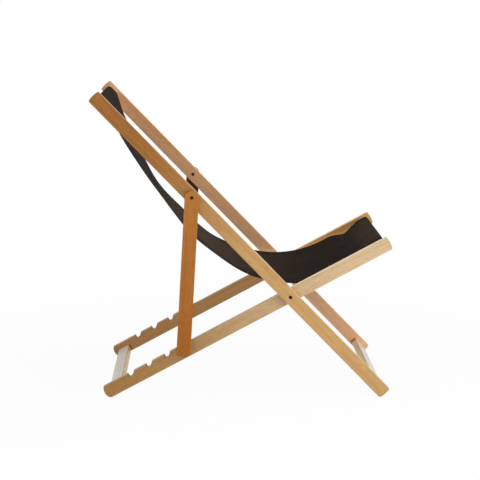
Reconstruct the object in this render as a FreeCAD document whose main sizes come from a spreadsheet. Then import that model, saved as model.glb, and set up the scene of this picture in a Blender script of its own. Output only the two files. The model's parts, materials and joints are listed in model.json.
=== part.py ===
"""Folding wooden deck chair with a canvas sling, in millimetres.

The chair faces +X and stands on Z = 0. Each rail and leg is drawn flat in its own frame: X along the
batten, Z across it and Y through its thickness. Three placements then tilt the back, seat and prop frames.
"""
import FreeCAD, Part
import Sketcher
import math
import os
import re
from FreeCAD import Placement, Rotation, Vector

SIZES = [
    # Back frame
    ("back_rail_upper", 828, "rail crossing to head end"),
    ("back_rail_lower", 412, "rail crossing to foot end"),
    ("back_rail_width", 40, "across the rail"),
    ("back_rail_thickness", 20, "through the rail"),
    ("frame_width", 560, "over the outer faces of the back rails"),
    # Seat frame
    ("seat_rail_rear", 625, "rail crossing to rear end"),
    ("seat_rail_front", 335, "rail crossing to front end"),
    ("seat_rail_width", 40, "across the rail"),
    ("seat_rail_thickness", 20, "through the rail"),
    ("seat_slope", 28, "degrees from the floor, with the bar at its most upright notch"),
    ("rail_gap", 2.5, "between a back rail and a seat rail"),
    # Prop frame
    ("prop_pivot_up", 420, "rail crossing to prop pivot, along the back rail"),
    ("prop_leg_width", 42, "across the leg"),
    ("prop_leg_thickness", 20, "through the leg"),
    ("prop_leg_gap", 1, "between a back rail and a prop leg"),
    ("prop_leg_tail", 38, "leg beyond the middle of the prop bar"),
    ("prop_bar_diameter", 26, "round bar"),
    ("prop_bar_tenon", 18, "diameter of the bar's turned ends"),
    ("prop_bar_tenon_length", 13, "turned end inside the leg"),
    ("prop_bar_dip", 0.8, "underside of the bar below the tops of the teeth"),
    # Batten ends, edges and feet
    ("end_radius", 70, "shallow round of a batten's end"),
    ("rear_end_radius", 34, "rounder end of a seat rail at its foot"),
    ("corner_round", 5, "corners of a batten's end"),
    ("edge_round", 1.6, "long edges of the battens"),
    ("foot_cut", 3, "height cut off the corner that stands on the floor"),
    ("foot_round", 2.5, "corners of that cut, rounder than the long edges"),
    # Notches in the seat rails
    ("notch_count", 4, "recline positions"),
    ("notch_margin", 84, "rear end of the rail to the upright wall of the furthest notch"),
    ("notch_pitch", 62, "from notch to notch"),
    ("notch_nearest", "=seat_rail_rear - notch_margin - (notch_count - 1)*notch_pitch",
     "rail crossing to the upright wall of the nearest notch"),
    ("notch_depth", 11.5, "below the rail's upper edge"),
    ("notch_floor", 9.5, "flat at the bottom"),
    ("notch_run", 11.5, "length of the sloped wall along the rail"),
    ("notch_round", 2.5, "corners of the notch"),
    # Cross bars
    ("bar_width", 38, "along the rail"),
    ("bar_thickness", 22, "across the rail"),
    ("bar_round", 3, "long edges of the rear and foot bars"),
    ("sling_bar_round", 8.5, "long edges of the head and front bars, inside the sling"),
    ("bar_end_gap", 10, "from a rail's end to the nearest bar face"),
    ("floor_bar_inset", 1.5, "from a seat rail's lower edge to the rear bar"),
    ("foot_bar_inset", 4.5, "from a back rail's lower edge to the foot bar"),
    ("front_bar_rise", 2.5, "front bar above the middle of the seat rail"),
    ("tenon_width", 26, "along the rail"),
    ("tenon_thickness", 12, "across the rail"),
    ("tenon_length", 13, "into the rail"),
    ("tenon_gap", 0.15, "round a tenon in its mortise"),
    # Bolts, sleeve nuts and washers
    ("head_diameter", 10, "bolt heads and nut flanges"),
    ("head_height", 3, "bolt heads and nut flanges"),
    ("head_sink", 0.8, "heads and flanges below the wood"),
    ("prop_head_sink", 4, "bolt head below the wood in a prop leg"),
    ("head_gap", 0.4, "round a head in its counterbore"),
    ("hex_radius", 2.3, "hexagon socket, middle to corner"),
    ("hex_depth", 2, "hexagon socket"),
    ("shank_diameter", 6, "bolt shank"),
    ("thread_depth", 11, "shank inside the sleeve nut"),
    ("barrel_diameter", 8, "sleeve nut"),
    ("barrel_seat", 8, "sleeve nut inside the outer batten"),
    ("barrel_end_gap", 0.3, "beyond the ends of the sleeve nut and the shank"),
    ("run_gap", 0.05, "radial clearance of the pivots"),
    ("washer_diameter", 24, "washers between the battens"),
    ("washer_gap", 0.05, "each side of a washer"),
    # Sling
    ("sling_side_gap", 12.5, "from an edge of the sling to a seat rail"),
    ("sling_width",
     "=frame_width - 2*(back_rail_thickness + rail_gap + seat_rail_thickness + sling_side_gap)",
     "finished width"),
    ("sling_thickness", 1.5, "doubled outdoor canvas"),
    ("sling_slack", 0, "length beyond the flat span of the folded chair"),
    ("sling_skew", 21, "how far one edge hangs forward of the middle line, and the other edge behind it"),
    ("sling_tilt", 7, "how far the forward edge hangs below the middle line, and the other edge above it"),
    ("head_skew_ease", 270, "length below the head seam over which the edges leave the middle line"),
    ("skew_ease", 60, "length before the front seam over which they come back to it"),
    ("hem_run", 65, "middle of a bar to its hem seam, along the rail"),
    ("head_seam_drop", 15, "head seam behind the middle of the head bar"),
    ("front_seam_drop", 5, "front seam below the middle of the front bar"),
    ("hem_gap", 0.3, "from a bar to the hem loop round it"),
]
SLING_ARCS = 8
HEXAGON_SIDES = 6
SOLVER_STEPS = 40
PICK_TOLERANCE = 0.01
SIDES = {"right": -1, "left": 1}
Y_AXIS = Vector(0, 1, 0)

doc = FreeCAD.newDocument("deck_chair")
sheet = doc.addObject("Spreadsheet::Sheet", "Sizes")
for row, (alias, value, meaning) in enumerate(SIZES, 1):
    sheet.set(f"A{row}", meaning)
    sheet.set(f"B{row}", str(value))
    sheet.setAlias(f"B{row}", alias)
doc.recompute()
ALIASES = {alias for alias, value, meaning in SIZES}
nodes = []


def size(alias):
    return float(getattr(sheet, alias))


def cell(text):
    """An expression on the sheet's cells, from words such as 'bar_width/2'."""
    return re.sub(r"[a-z_]+", lambda word: ("Sizes." if word[0] in ALIASES else "") + word[0], text)


def value_of(text):
    return float(sheet.evalExpression(cell(text)))


# Slopes and places that follow from the sizes
SEAT_FOOT_HEIGHT = "(seat_rail_rear*sin(seat_slope) + seat_rail_width/2*cos(seat_slope))"
BACK_SLOPE = (f"(asin({SEAT_FOOT_HEIGHT}/sqrt(back_rail_lower^2 + back_rail_width^2/4))"
              " - atan(back_rail_width/2/back_rail_lower))")
BAR_SEAT = "(notch_nearest - prop_bar_diameter/2)"
BAR_HEIGHT = "(seat_rail_width/2 - prop_bar_dip + prop_bar_diameter/2)"
SEAT_HALF = "(frame_width/2 - back_rail_thickness - rail_gap)"
LEG_HALF = "(frame_width/2 + prop_leg_gap)"
BACK_SPAN = "(frame_width - 2*back_rail_thickness)"
SEAT_SPAN = f"(2*{SEAT_HALF} - 2*seat_rail_thickness)"
FOLD_ANGLE = f"({BACK_SLOPE} + seat_slope*1deg)"
PROP_REACH = (f"sqrt((prop_pivot_up*cos({FOLD_ANGLE}) - {BAR_SEAT})^2"
              f" + (prop_pivot_up*sin({FOLD_ANGLE}) - {BAR_HEIGHT})^2)")

crossing = Vector(0, 0, value_of(f"{SEAT_FOOT_HEIGHT} - foot_cut"))
back_slope = value_of(BACK_SLOPE)
back_frame = Placement(crossing, Rotation(Y_AXIS, back_slope))
seat_frame = Placement(crossing, Rotation(Y_AXIS, -size("seat_slope")))
prop_pivot = back_frame.multVec(Vector(-size("prop_pivot_up"), 0, 0))
prop_bar_middle = seat_frame.multVec(Vector(-value_of(BAR_SEAT), 0, value_of(BAR_HEIGHT)))
prop_slope = math.degrees(math.atan2(prop_pivot.z - prop_bar_middle.z, prop_bar_middle.x - prop_pivot.x))
prop_frame = Placement(prop_pivot, Rotation(Y_AXIS, prop_slope))


def moved(frame, x=0.0, y=0.0, z=0.0, turn=Rotation()):
    return frame.multiply(Placement(Vector(x, y, z), turn))


def finish(part, label, place):
    part.Label = label
    part.Placement = place
    nodes.append(part)


# Sketches and features
def new_body(label):
    return doc.addObject("PartDesign::Body", "body_" + label)


def new_sketch(body, name, face_offset=None):
    """A sketch on the body's XZ plane, or face_offset from it towards -Y."""
    sketch = body.newObject("Sketcher::SketchObject", name)
    plane = next(item for item in body.Origin.OriginFeatures if item.Role == "XZ_Plane")
    sketch.AttachmentSupport = [(plane, "")]
    sketch.MapMode = "FlatFace"
    if face_offset:
        sketch.setExpression("AttachmentOffset.Base.z", cell(face_offset))
    return sketch


def bind(sketch, constraint, kind, expression):
    """Add one dimension to a sketch and tie it to the sheet."""
    index = sketch.addConstraint(Sketcher.Constraint(kind, *constraint, value_of(expression)))
    sketch.setExpression(f"Constraints[{index}]", cell(expression))


def draw_outline(sketch, corners):
    """A closed outline, anticlockwise. Each corner is (x, z) or (x, z, radius of the arc that leaves it)."""
    places = [Vector(value_of(corner[0]), value_of(corner[1]), 0) for corner in corners]
    for number, corner in enumerate(corners):
        start, end = places[number], places[(number + 1) % len(corners)]
        if len(corner) == 2:
            sketch.addGeometry(Part.LineSegment(start, end))
            continue
        radius = value_of(corner[2])
        chord = end - start
        rise = math.sqrt(radius ** 2 - chord.Length ** 2 / 4)
        centre = (start + end) / 2 + Vector(-chord.y, chord.x, 0).normalize() * rise
        angles = [math.atan2(point.y - centre.y, point.x - centre.x) for point in (start, end)]
        circle = Part.Circle(centre, Vector(0, 0, 1), radius)
        sketch.addGeometry(Part.ArcOfCircle(circle, angles[0], angles[1]))
    for number, corner in enumerate(corners):
        following = (number + 1) % len(corners)
        sketch.addConstraint(Sketcher.Constraint("Coincident", number, 2, following, 1))
        bind(sketch, (-1, 1, number, 1), "DistanceX", corner[0])
        bind(sketch, (-1, 1, number, 1), "DistanceY", corner[1])
        if len(corner) == 3:
            bind(sketch, (number,), "Radius", corner[2])


def draw_rectangle(sketch, x, z, width, height):
    low_x, high_x = f"{x} - ({width})/2", f"{x} + ({width})/2"
    low_z, high_z = f"{z} - ({height})/2", f"{z} + ({height})/2"
    draw_outline(sketch, [(low_x, low_z), (high_x, low_z), (high_x, high_z), (low_x, high_z)])


def draw_circle(sketch, x, z, diameter):
    centre = Vector(value_of(x), value_of(z), 0)
    sketch.addGeometry(Part.Circle(centre, Vector(0, 0, 1), value_of(diameter) / 2))
    bind(sketch, (-1, 1, 0, 3), "DistanceX", x)
    bind(sketch, (-1, 1, 0, 3), "DistanceY", z)
    bind(sketch, (0,), "Diameter", diameter)


def pad_both_ways(body, name, sketch, length):
    pad = body.newObject("PartDesign::Pad", name)
    pad.Profile = sketch
    pad.SideType = "Symmetric"
    pad.setExpression("Length", cell(length))
    doc.recompute()
    return pad


def pocket(body, name, sketch, depth, side=0):
    """Cut from the sketch inwards from the face on that side, or both ways when side is 0."""
    before = body.Shape.Volume
    cut = body.newObject("PartDesign::Pocket", name)
    cut.Profile = sketch
    cut.SideType = "One side" if side else "Symmetric"
    cut.Reversed = side > 0
    cut.setExpression("Length", cell(depth))
    doc.recompute()
    if body.Shape.Volume >= before:
        raise RuntimeError(f"{body.Name}: {name} cut nothing")
    return cut


def face_on(side, thickness):
    """Where the face on that side of a batten lies, measured towards -Y."""
    return f"{-side}*{thickness}/2"


def round_edges(body, name, radius, wanted):
    """Fillet the edges of the body's last feature that the test picks."""
    base = body.Tip
    names = [f"Edge{number}" for number, edge in enumerate(base.Shape.Edges, 1) if wanted(edge)]
    fillet = body.newObject("PartDesign::Fillet", name)
    fillet.Base = (base, names)
    fillet.setExpression("Radius", cell(radius))
    doc.recompute()
    return fillet


def corner_picker(corners):
    """Picks the edges through the thickness that stand on the given corners."""
    places = [(value_of(x), value_of(z)) for x, z in corners]

    def wanted(edge):
        box = edge.BoundBox
        upright = box.XLength + box.ZLength < PICK_TOLERANCE
        return upright and any(math.hypot(box.XMin - x, box.ZMin - z) < PICK_TOLERANCE for x, z in places)
    return wanted


def batten(label, thickness, outline, soft_corners, foot_corners=()):
    """A wooden bar of even thickness with rounded end corners, and less round ones beside its foot."""
    body = new_body(label)
    sketch = new_sketch(body, "outline_" + label)
    draw_outline(sketch, outline)
    pad_both_ways(body, "blank_" + label, sketch, thickness)
    round_edges(body, "corners_" + label, "corner_round", corner_picker(soft_corners))
    if foot_corners:
        round_edges(body, "foot_" + label, "foot_round", corner_picker(foot_corners))
    return body


def soften(body, thickness):
    """Round the edges of both broad faces."""
    half = value_of(thickness) / 2

    def wanted(edge):
        box = edge.BoundBox
        return box.YLength < PICK_TOLERANCE and abs(abs(box.YMin) - half) < PICK_TOLERANCE
    round_edges(body, "edges_" + body.Name, "edge_round", wanted)


def bore(body, name, x, diameter, depth, thickness, side=0):
    sketch = new_sketch(body, name + "_circle", face_on(side, thickness) if side else None)
    draw_circle(sketch, x, "0", diameter)
    pocket(body, name, sketch, depth, side)


def mortise(body, name, x, z, thickness, side):
    sketch = new_sketch(body, name + "_outline", face_on(side, thickness))
    draw_rectangle(sketch, x, z, "tenon_width + 2*tenon_gap", "tenon_thickness + 2*tenon_gap")
    pocket(body, name, sketch, "tenon_length + tenon_gap", side)


def outer_pivot(body, x, thickness, sink, side):
    """Bore of the batten that holds the bolt head on its outer face and the sleeve's end inside."""
    tag = f"_{body.Name}_{x.strip('-')}"
    bore(body, "shank" + tag, x, "shank_diameter + 2*run_gap", f"2*{thickness}", thickness)
    bore(body, "counterbore" + tag, x, "head_diameter + 2*head_gap", f"{sink} + head_height", thickness, side)
    sleeve_depth = "barrel_seat + barrel_end_gap"
    bore(body, "sleeve" + tag, x, "barrel_diameter + 2*run_gap", sleeve_depth, thickness, -side)


def inner_pivot(body, x, thickness, side):
    """Bore of the batten that the sleeve nut passes through, with its flange sunk in the inner face."""
    tag = f"_{body.Name}_{x.strip('-')}"
    bore(body, "barrel" + tag, x, "barrel_diameter + 2*run_gap", f"2*{thickness}", thickness)
    bore(body, "flange" + tag, x, "head_diameter + 2*head_gap", "head_sink + head_height", thickness, -side)


# Places of the cross bars along and across their rails
HEAD_BAR_X = "-(back_rail_upper - bar_end_gap - bar_width/2)"
FOOT_BAR_X = "(back_rail_lower - bar_end_gap - bar_width/2)"
FOOT_BAR_Z = "(foot_bar_inset + bar_thickness/2 - back_rail_width/2)"
FRONT_BAR_X = "(seat_rail_front - bar_end_gap - bar_width/2)"
REAR_BAR_X = "-(seat_rail_rear - bar_end_gap - bar_width/2)"
REAR_BAR_Z = "(floor_bar_inset + bar_thickness/2 - seat_rail_width/2)"


# Wooden pieces
def make_back_rail(name, side):
    label = "back_rail_" + name
    low, high = "-back_rail_width/2", "back_rail_width/2"
    foot_low = (f"back_rail_lower - foot_cut/sin({BACK_SLOPE})", low)
    foot_end = ("back_rail_lower", f"{low} + foot_cut/cos({BACK_SLOPE})")
    body = batten(label, "back_rail_thickness", [
        ("-back_rail_upper", low),
        foot_low,
        (*foot_end, "end_radius"),
        ("back_rail_lower", high),
        ("-back_rail_upper", high, "end_radius"),
    ], [("-back_rail_upper", low), ("-back_rail_upper", high), ("back_rail_lower", high)],
        [foot_low, foot_end])
    soften(body, "back_rail_thickness")
    outer_pivot(body, "0", "back_rail_thickness", "head_sink", side)
    inner_pivot(body, "-prop_pivot_up", "back_rail_thickness", side)
    mortise(body, "head_mortise_" + name, HEAD_BAR_X, "0", "back_rail_thickness", -side)
    mortise(body, "foot_mortise_" + name, FOOT_BAR_X, FOOT_BAR_Z, "back_rail_thickness", -side)
    middle = side * value_of("frame_width/2 - back_rail_thickness/2")
    finish(body, label, moved(back_frame, y=middle))


def cut_notches(body, name):
    """The recline notches: an upright rear wall, a flat floor and a sloped front wall."""
    top, floor = "seat_rail_width/2", "seat_rail_width/2 - notch_depth"
    wall, slope_foot = "-notch_nearest", "notch_floor - notch_nearest"
    lip = f"{slope_foot} + notch_run"
    sketch = new_sketch(body, "notch_outline_" + name)
    draw_outline(sketch, [(wall, floor), (slope_foot, floor), (lip, top),
                          (lip, f"{top} + notch_depth"), (wall, f"{top} + notch_depth")])
    first = pocket(body, "notch_" + name, sketch, "2*seat_rail_thickness")
    row = body.newObject("PartDesign::LinearPattern", "notches_" + name)
    row.Originals = [first]
    row.Direction = (sketch, ["H_Axis"])
    row.Reversed = True
    row.setExpression("Length", cell("(notch_count - 1)*notch_pitch"))
    row.setExpression("Occurrences", cell("notch_count"))
    body.Tip = row
    doc.recompute()
    corners = []
    for number in range(int(size("notch_count"))):
        back = f" - {number}*notch_pitch"
        corners += [(wall + back, top), (wall + back, floor), (slope_foot + back, floor), (lip + back, top)]
    round_edges(body, "notch_corners_" + name, "notch_round", corner_picker(corners))


def make_seat_rail(name, side):
    label = "seat_rail_" + name
    low, high = "-seat_rail_width/2", "seat_rail_width/2"
    foot_low = ("foot_cut/sin(seat_slope) - seat_rail_rear", low)
    foot_end = ("-seat_rail_rear", f"{low} + foot_cut/cos(seat_slope)")
    body = batten(label, "seat_rail_thickness", [
        foot_low,
        ("seat_rail_front", low, "end_radius"),
        ("seat_rail_front", high),
        ("-seat_rail_rear", high, "rear_end_radius"),
        foot_end,
    ], [("seat_rail_front", low), ("seat_rail_front", high), ("-seat_rail_rear", high)],
        [foot_low, foot_end])
    cut_notches(body, name)
    soften(body, "seat_rail_thickness")
    inner_pivot(body, "0", "seat_rail_thickness", side)
    mortise(body, "front_mortise_" + name, FRONT_BAR_X, "front_bar_rise", "seat_rail_thickness", -side)
    mortise(body, "rear_mortise_" + name, REAR_BAR_X, REAR_BAR_Z, "seat_rail_thickness", -side)
    middle = side * value_of(f"{SEAT_HALF} - seat_rail_thickness/2")
    finish(body, label, moved(seat_frame, y=middle))


def make_prop_leg(name, side):
    label = "prop_leg_" + name
    low, high = "-prop_leg_width/2", "prop_leg_width/2"
    tail = f"{PROP_REACH} + prop_leg_tail"
    body = batten(label, "prop_leg_thickness", [
        ("0", low),
        (tail, low, "end_radius"),
        (tail, high),
        ("0", high, "prop_leg_width/2"),
        (low, "0", "prop_leg_width/2"),
    ], [(tail, low), (tail, high)])
    soften(body, "prop_leg_thickness")
    outer_pivot(body, "0", "prop_leg_thickness", "prop_head_sink", side)
    bore(body, "bar_bore_" + name, PROP_REACH, "prop_bar_tenon + 2*tenon_gap",
         "prop_bar_tenon_length + tenon_gap", "prop_leg_thickness", -side)
    middle = side * value_of(f"{LEG_HALF} + prop_leg_thickness/2")
    finish(body, label, moved(prop_frame, y=middle))


def make_cross_bar(label, frame, x, z, span, edge_round):
    """A flat bar between two rails, with a tenon at each end."""
    body = new_body(label)
    sketch = new_sketch(body, "section_" + label)
    draw_rectangle(sketch, "0", "0", "bar_width", "bar_thickness")
    pad_both_ways(body, "bar_" + label, sketch, span)
    length = value_of(span)
    round_edges(body, "edges_" + label, edge_round,
                lambda edge: abs(edge.BoundBox.YLength - length) < PICK_TOLERANCE)
    tenon = new_sketch(body, "tenon_section_" + label)
    draw_rectangle(tenon, "0", "0", "tenon_width", "tenon_thickness")
    pad_both_ways(body, "tenons_" + label, tenon, f"{span} + 2*tenon_length")
    finish(body, label, moved(frame, x=value_of(x), z=value_of(z)))


def make_prop_bar():
    body = new_body("prop_bar")
    sketch = new_sketch(body, "section_prop_bar")
    draw_circle(sketch, "0", "0", "prop_bar_diameter")
    pad_both_ways(body, "dowel", sketch, f"2*{LEG_HALF}")
    tenon = new_sketch(body, "tenon_section_prop_bar")
    draw_circle(tenon, "0", "0", "prop_bar_tenon")
    pad_both_ways(body, "turned_ends", tenon, f"2*{LEG_HALF} + 2*prop_bar_tenon_length")
    finish(body, "prop_bar", moved(prop_frame, x=value_of(PROP_REACH)))


# Bolts, sleeve nuts and washers, drawn along Z from their outer end
def cylinder(name, diameter, height, start="0"):
    solid = doc.addObject("Part::Cylinder", name)
    solid.setExpression("Radius", cell(f"({diameter})/2"))
    solid.setExpression("Height", cell(height))
    solid.setExpression("Placement.Base.z", cell(start))
    return solid


def joined(name, first, second):
    both = doc.addObject("Part::Fuse", name)
    both.Base, both.Tool = first, second
    return both


def drilled(name, solid, hole):
    rest = doc.addObject("Part::Cut", name)
    rest.Base, rest.Tool = solid, hole
    return rest


def along_y(direction):
    """Turns a fastener so that its Z axis runs along Y, in that direction."""
    return Rotation(Vector(1, 0, 0), -90 * direction)


def hexagon_socket(label):
    hexagon = doc.addObject("Part::Prism", label + "_socket")
    hexagon.Polygon = HEXAGON_SIDES
    hexagon.setExpression("Circumradius", cell("hex_radius"))
    hexagon.setExpression("Height", cell("hex_depth"))
    return hexagon


def make_bolt(label, outer, sink, frame, x, face, side):
    """Flat-headed bolt, sunk in the outer batten, whose shank ends inside the sleeve nut."""
    shank = f"{outer} - {sink} - head_height - barrel_seat + thread_depth"
    head = cylinder(label + "_head", "head_diameter", "head_height")
    rod = cylinder(label + "_shank", "shank_diameter", shank, "head_height")
    solid = drilled(label + "_bolt", joined(label + "_blank", head, rod), hexagon_socket(label))
    doc.recompute()
    place = side * value_of(f"{face} - {sink}")
    finish(solid, label, moved(frame, x=value_of(x), y=place, turn=along_y(-side)))


def make_nut(label, inner, gap, frame, x, face, side):
    """Sleeve nut whose barrel is the axle: through the inner batten and the washer into the outer batten."""
    barrel = f"{inner} - head_sink - head_height + {gap} + barrel_seat"
    thread = "thread_depth + barrel_end_gap"
    flange = cylinder(label + "_flange", "head_diameter", "head_height")
    sleeve = cylinder(label + "_sleeve", "barrel_diameter", barrel, "head_height")
    thread_start = f"head_height + {barrel} - ({thread})"
    hole = cylinder(label + "_thread", "shank_diameter + 2*run_gap", thread, thread_start)
    drilled_sleeve = drilled(label + "_drilled", joined(label + "_blank", flange, sleeve), hole)
    solid = drilled(label + "_nut", drilled_sleeve, hexagon_socket(label))
    doc.recompute()
    place = side * value_of(f"{face} + head_sink")
    finish(solid, label, moved(frame, x=value_of(x), y=place, turn=along_y(side)))


def make_washer(label, gap, frame, x, face, side):
    disc = cylinder(label + "_disc", "washer_diameter", f"{gap} - 2*washer_gap")
    hole = cylinder(label + "_hole", "barrel_diameter + 2*run_gap", f"{gap} - 2*washer_gap")
    solid = drilled(label + "_ring", disc, hole)
    doc.recompute()
    place = side * value_of(f"{face} + washer_gap")
    finish(solid, label, moved(frame, x=value_of(x), y=place, turn=along_y(side)))


def make_fasteners(name, side):
    back_outer, back_inner = "frame_width/2", "frame_width/2 - back_rail_thickness"
    seat_outer, seat_inner = SEAT_HALF, f"{SEAT_HALF} - seat_rail_thickness"
    leg_outer = f"{LEG_HALF} + prop_leg_thickness"
    make_bolt("pivot_bolt_" + name, "back_rail_thickness", "head_sink", back_frame, "0", back_outer, side)
    make_nut("pivot_nut_" + name, "seat_rail_thickness", "rail_gap", back_frame, "0", seat_inner, side)
    make_washer("pivot_washer_" + name, "rail_gap", back_frame, "0", seat_outer, side)
    up = "-prop_pivot_up"
    make_bolt("prop_bolt_" + name, "prop_leg_thickness", "prop_head_sink", back_frame, up, leg_outer, side)
    make_nut("prop_nut_" + name, "back_rail_thickness", "prop_leg_gap", back_frame, up, back_inner, side)
    make_washer("prop_washer_" + name, "prop_leg_gap", back_frame, up, back_outer, side)


# Sling
def catenary(start, end, length):
    """Middle line of a cloth hung from start to end: gives the place and normal at a share of its length."""
    across, down = end.x - start.x, end.z - start.z
    stretch = math.sqrt(length ** 2 - down ** 2) / across
    half = math.sqrt(6 * (stretch - 1))
    for step in range(SOLVER_STEPS):
        half -= (math.sinh(half) - stretch * half) / (math.cosh(half) - stretch)
    scale = across / 2 / half
    lowest_x = (start.x + end.x) / 2 - scale * math.atanh(down / length)
    begin = math.sinh((start.x - lowest_x) / scale)
    base = start.z - scale * math.cosh((start.x - lowest_x) / scale)

    def at(share):
        slope = begin + share * length / scale
        lift = math.asinh(slope)
        place = Vector(lowest_x + scale * lift, 0, base + scale * math.cosh(lift))
        return place, Vector(-slope, 0, 1).normalize()
    return at


def arc_chain(points):
    return [Part.Arc(*points[number:number + 3]).toShape() for number in range(0, len(points) - 2, 2)]


def cloth_section(hang, length, side):
    """Closed section of the hanging cloth at one of its long edges, of lines and arcs."""
    half = size("sling_thickness") / 2
    head_share, front_share = size("head_skew_ease") / length, size("skew_ease") / length
    sides = []
    for level in (half, -half):
        line = []
        for number in range(2 * SLING_ARCS + 1):
            share = number / (2 * SLING_ARCS)
            place, normal = hang(share)
            rise = min(1, share / head_share, (1 - share) / front_share)
            shift = size("sling_skew") * normal.x - size("sling_tilt") * normal.z
            offset = level - side * shift * rise ** 2 * (3 - 2 * rise)
            line.append(place + normal * offset + Vector(0, side * size("sling_width") / 2, 0))
        sides.append(line)
    over, under = sides[0], sides[1][::-1]
    edges = arc_chain(over) + [Part.makeLine(over[-1], under[0])]
    edges += arc_chain(under) + [Part.makeLine(under[-1], over[0])]
    return Part.Wire(edges)


def pulled_round(circles):
    """Closed outline of a band pulled round circles (x, z, radius), which are given anticlockwise."""
    def rim(circle, angle):
        return Vector(circle[0] + circle[2] * math.cos(angle), 0, circle[1] + circle[2] * math.sin(angle))

    def outward(first, second):
        across, up = second[0] - first[0], second[1] - first[1]
        return math.atan2(up, across) - math.acos((first[2] - second[2]) / math.hypot(across, up))

    touched = []
    while touched != circles:
        touched = circles
        leave = [outward(*pair) for pair in zip(circles, circles[1:] + circles[:1])]
        turn = [(leave[number] - leave[number - 1]) % (2 * math.pi) for number in range(len(circles))]
        circles = [circle for number, circle in enumerate(circles) if turn[number] < math.pi]
    edges = []
    for number, circle in enumerate(circles):
        arc = [rim(circle, leave[number] - turn[number] * share) for share in (1, 0.5, 0)]
        edges.append(Part.Arc(*arc).toShape())
        following = circles[(number + 1) % len(circles)]
        edges.append(Part.makeLine(arc[-1], rim(following, leave[number])))
    return Part.Wire(edges)


def hem_loop(frame, bar_x, bar_z, seam_x, seam_z):
    """Sewn loop round a bar: a band that runs from the bar's far side to the seam."""
    inset = size("sling_bar_round")
    half_x, half_z = size("bar_width") / 2 - inset, size("bar_thickness") / 2 - inset
    edges = [(bar_x - half_x, bar_z - half_z), (bar_x + half_x, bar_z - half_z),
             (bar_x + half_x, bar_z + half_z), (bar_x - half_x, bar_z + half_z)]
    first = 2 if seam_x > bar_x else 0
    faces = []
    for gap in (size("hem_gap") + size("sling_thickness"), size("hem_gap")):
        round_bar = [(*edge, inset + gap) for edge in edges[first:] + edges[:first]]
        faces.append(Part.Face(pulled_round([(seam_x, seam_z, gap)] + round_bar)))
    band = faces[0].cut(faces[1]).Faces[0]
    band.translate(Vector(0, -size("sling_width") / 2, 0))
    loop = band.extrude(Vector(0, size("sling_width"), 0))
    loop.Placement = frame.multiply(loop.Placement)
    return loop


def make_sling():
    head_x, head_z = value_of(HEAD_BAR_X), 0.0
    front_x, front_z = value_of(FRONT_BAR_X), size("front_bar_rise")
    head_seam = Vector(head_x + size("hem_run"), 0, head_z - size("head_seam_drop"))
    front_seam = Vector(front_x - size("hem_run"), 0, front_z - size("front_seam_drop"))
    length = (front_seam - head_seam).Length + size("sling_slack")
    hang = catenary(back_frame.multVec(head_seam), seat_frame.multVec(front_seam), length)
    sheet_solid = Part.makeLoft([cloth_section(hang, length, side) for side in (-1, 1)], True, True)
    head_loop = hem_loop(back_frame, head_x, head_z, head_seam.x, head_seam.z)
    front_loop = hem_loop(seat_frame, front_x, front_z, front_seam.x, front_seam.z)
    sling = doc.addObject("Part::Feature", "sling")
    sling.Shape = sheet_solid.fuse([head_loop, front_loop]).removeSplitter().Solids[0]
    print(f"sling between seams {length:.1f} mm")
    finish(sling, "sling", Placement())


for name, side in SIDES.items():
    make_back_rail(name, side)
    make_seat_rail(name, side)
    make_prop_leg(name, side)
    make_fasteners(name, side)
make_cross_bar("head_bar", back_frame, HEAD_BAR_X, "0", BACK_SPAN, "sling_bar_round")
make_cross_bar("foot_bar", back_frame, FOOT_BAR_X, FOOT_BAR_Z, BACK_SPAN, "bar_round")
make_cross_bar("front_bar", seat_frame, FRONT_BAR_X, "front_bar_rise", SEAT_SPAN, "sling_bar_round")
make_cross_bar("rear_bar", seat_frame, REAR_BAR_X, REAR_BAR_Z, SEAT_SPAN, "bar_round")
make_prop_bar()
make_sling()

# The origin is on the floor below the middle of the chair's length
doc.recompute()
lowest_x = min(part.Shape.BoundBox.XMin for part in nodes)
highest_x = max(part.Shape.BoundBox.XMax for part in nodes)
shift = Placement(Vector(-(lowest_x + highest_x) / 2, 0, 0), Rotation())
for part in nodes:
    part.Placement = shift.multiply(part.Placement)
doc.recompute()

for item in doc.Objects:
    if {"Invalid", "Error"} & set(item.State):
        raise RuntimeError(f"{item.Name} failed: {item.State}")
for part in nodes:
    if part.Shape.isNull() or not part.Shape.isValid() or len(part.Shape.Solids) != 1:
        raise RuntimeError(f"{part.Label} isn't one valid solid")

os.makedirs("parts", exist_ok=True)
for part in nodes:
    part.Shape.exportStep(f"parts/{part.Label}.step")

fold = value_of(FOLD_ANGLE)
swing = 180 + back_slope - prop_slope
for title, point in (("crossing", crossing), ("prop pivot", prop_pivot), ("prop bar", prop_bar_middle)):
    print(title, tuple(round(number, 3) for number in shift.multVec(point)))
print(f"back slope {back_slope:.3f} degrees, fold {fold:.3f} degrees")
print(f"prop swing {swing:.3f} degrees, {swing / fold:.5f} times the fold")
print(f"prop reach {value_of(PROP_REACH):.3f} mm, {len(nodes)} nodes")
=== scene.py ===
"""Dresses the folding deck chair: a varnished beech frame, a charcoal canvas sling and blackened bolts.

All places are in metres in the chair's own frame: it faces +X, stands on Z = 0 and its left is +Y.
"""
import bpy
import json
import math
import numpy as np
from mathutils import Matrix, Vector


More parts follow.
